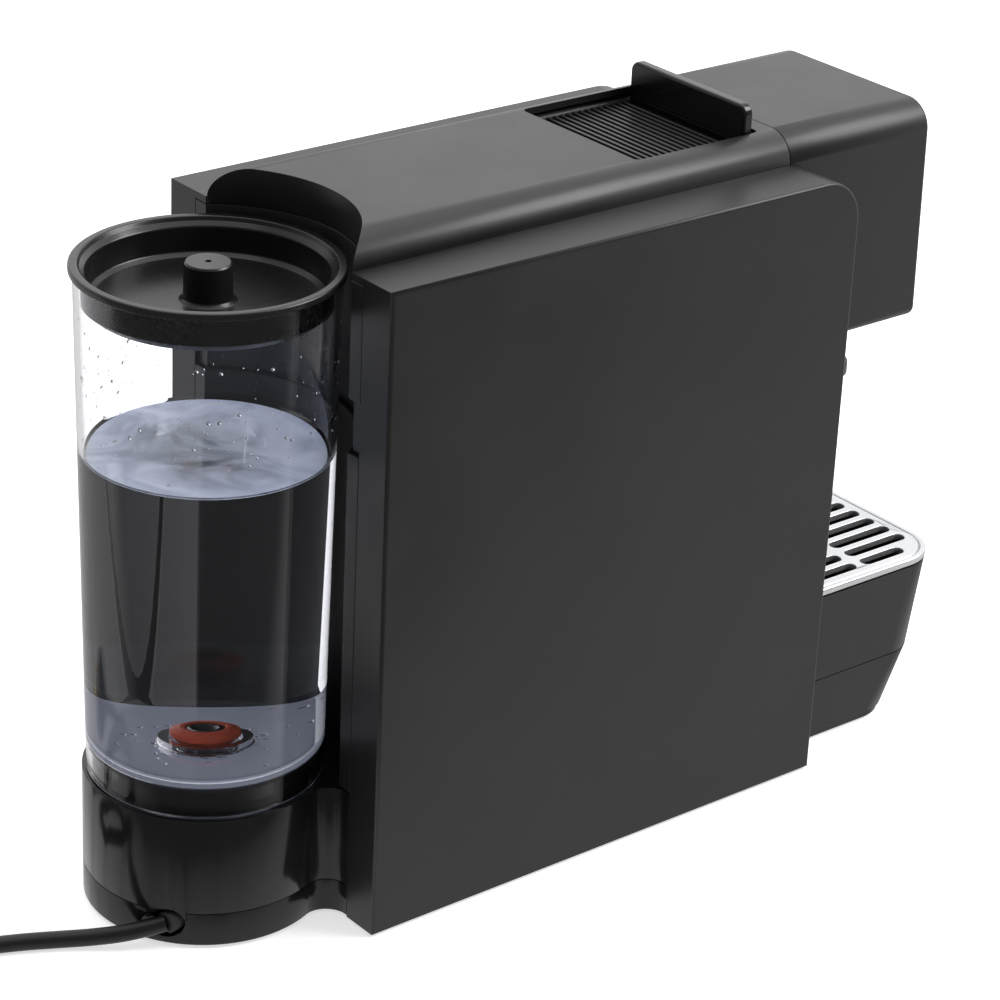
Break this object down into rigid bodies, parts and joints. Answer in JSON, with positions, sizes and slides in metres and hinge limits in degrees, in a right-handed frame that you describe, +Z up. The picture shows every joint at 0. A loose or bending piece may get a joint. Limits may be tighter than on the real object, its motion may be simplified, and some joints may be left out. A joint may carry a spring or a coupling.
{
  "type": "pod coffee machine",
  "caption": "Slim counter-top pod coffee machine with a sliding pod door on top, a clear round water tank at the rear and a pull-out drip tray under the spout.",
  "frame": {"origin": "on the table, under the middle of the machine's length and width, without the mains lead", "axes": "+Z up, the front with the spout faces -Y, the water tank is at +Y, +X is the right side seen from the front"},
  "size_m": [0.2106, 0.4643, 0.2623],
  "materials": {
    "satin_black": "satin moulded ABS",
    "gloss_black": "polished black ABS",
    "grille_silver": "silver lacquered plate",
    "clear_tank": "clear moulded copolyester",
    "silicone_red": "soft red silicone",
    "rubber_black": "matte rubber",
    "cord_black": "satin PVC sheath",
    "inner_grey": "unpainted moulding",
    "inner_white": "heat-proof moulding",
    "steel": "bright steel",
    "aluminium": "die cast",
    "brass": "nickel-free brass pins",
    "circuit_green": "coated board",
    "hose_white": "translucent silicone hose"
  },
  "bodies": {
    "machine_body": {"left_side_panel": "satin_black", "right_side_panel": "satin_black", "top_cover": "satin_black", "rear_cover_upper": "satin_black", "tank_clip": "satin_black", "rear_cover_lower": "satin_black", "head_shell": "satin_black", "head_underplate": "satin_black", "button_bezel": "gloss_black", "button_board": "circuit_green", "coffee_spout": "satin_black", "slider_rails": "inner_grey", "front_wall": "satin_black", "base_pan": "gloss_black", "case_screws": "steel", "rubber_feet": "rubber_black", "front_base": "satin_black", "tank_pedestal": "gloss_black", "dock_seal": "silicone_red", "brew_chamber": "inner_white", "pod_chute": "inner_grey", "needle_plate": "steel", "inner_frame": "inner_grey", "pump": "inner_grey", "pump_coil": "steel", "pump_mounts": "rubber_black", "thermoblock": "aluminium", "thermal_cutout": "inner_white", "flow_meter": "inner_white", "meter_bracket": "inner_grey", "suction_hose": "hose_white", "pressure_hose": "hose_white", "brew_hose": "hose_white", "coffee_tube": "hose_white", "control_board": "circuit_green", "terminal_block": "inner_white", "door_switch": "inner_grey", "cord_gland": "rubber_black", "power_cord": "cord_black", "cord_coil": "cord_black", "cord_tail": "cord_black", "plug_body": "cord_black", "plug_pins": "brass"},
    "pod_door": {"slide_door": "satin_black", "slide_handle": "gloss_black"},
    "brew_plunger": {"brew_piston": "inner_white"},
    "left_button": {"button_left": "satin_black", "button_spring_left": "steel"},
    "right_button": {"button_right": "satin_black", "button_spring_right": "steel"},
    "tray": {"drip_tray": "satin_black", "used_pod_bin": "satin_black"},
    "grille": {"drip_grille": "grille_silver"},
    "tank": {"water_tank": "clear_tank"},
    "valve": {"valve_poppet": "gloss_black", "valve_seal": "silicone_red", "valve_spring": "steel"},
    "lid": {"tank_lid": "gloss_black"}
  },
  "joints": [
    {"name": "door_slide", "type": "slide", "parent": "machine_body", "child": "pod_door", "axis": [0, 1, 0], "range_m": [0, 0.048]},
    {"name": "piston_slide", "type": "slide", "parent": "machine_body", "child": "brew_plunger", "axis": [0, 1, 0], "range_m": [0, 0.012]},
    {"name": "left_button_press", "type": "slide", "parent": "machine_body", "child": "left_button", "axis": [0, 1, 0], "range_m": [0, 0.0012], "stiffness_N_per_m": 800, "deforming": ["button_spring_left"]},
    {"name": "right_button_press", "type": "slide", "parent": "machine_body", "child": "right_button", "axis": [0, 1, 0], "range_m": [0, 0.0012], "stiffness_N_per_m": 800, "deforming": ["button_spring_right"]},
    {"name": "tray_slide", "type": "slide", "parent": "machine_body", "child": "tray", "axis": [0, -1, 0], "range_m": [0, 0.13]},
    {"name": "grille_lift", "type": "slide", "parent": "tray", "child": "grille", "axis": [0, 0, 1], "range_m": [0, 0.05]},
    {"name": "tank_lift", "type": "slide", "parent": "machine_body", "child": "tank", "axis": [0, 0, 1], "range_m": [0, 0.2]},
    {"name": "valve_lift", "type": "slide", "parent": "tank", "child": "valve", "axis": [0, 0, 1], "range_m": [0, 0.003], "stiffness_N_per_m": 300, "deforming": ["valve_spring"]},
    {"name": "lid_lift", "type": "slide", "parent": "tank", "child": "lid", "axis": [0, 0, 1], "range_m": [0, 0.06]}
  ],
  "couplings": [
    {"joint": "piston_slide", "follows": "door_slide", "ratio": 0.25}
  ]
}
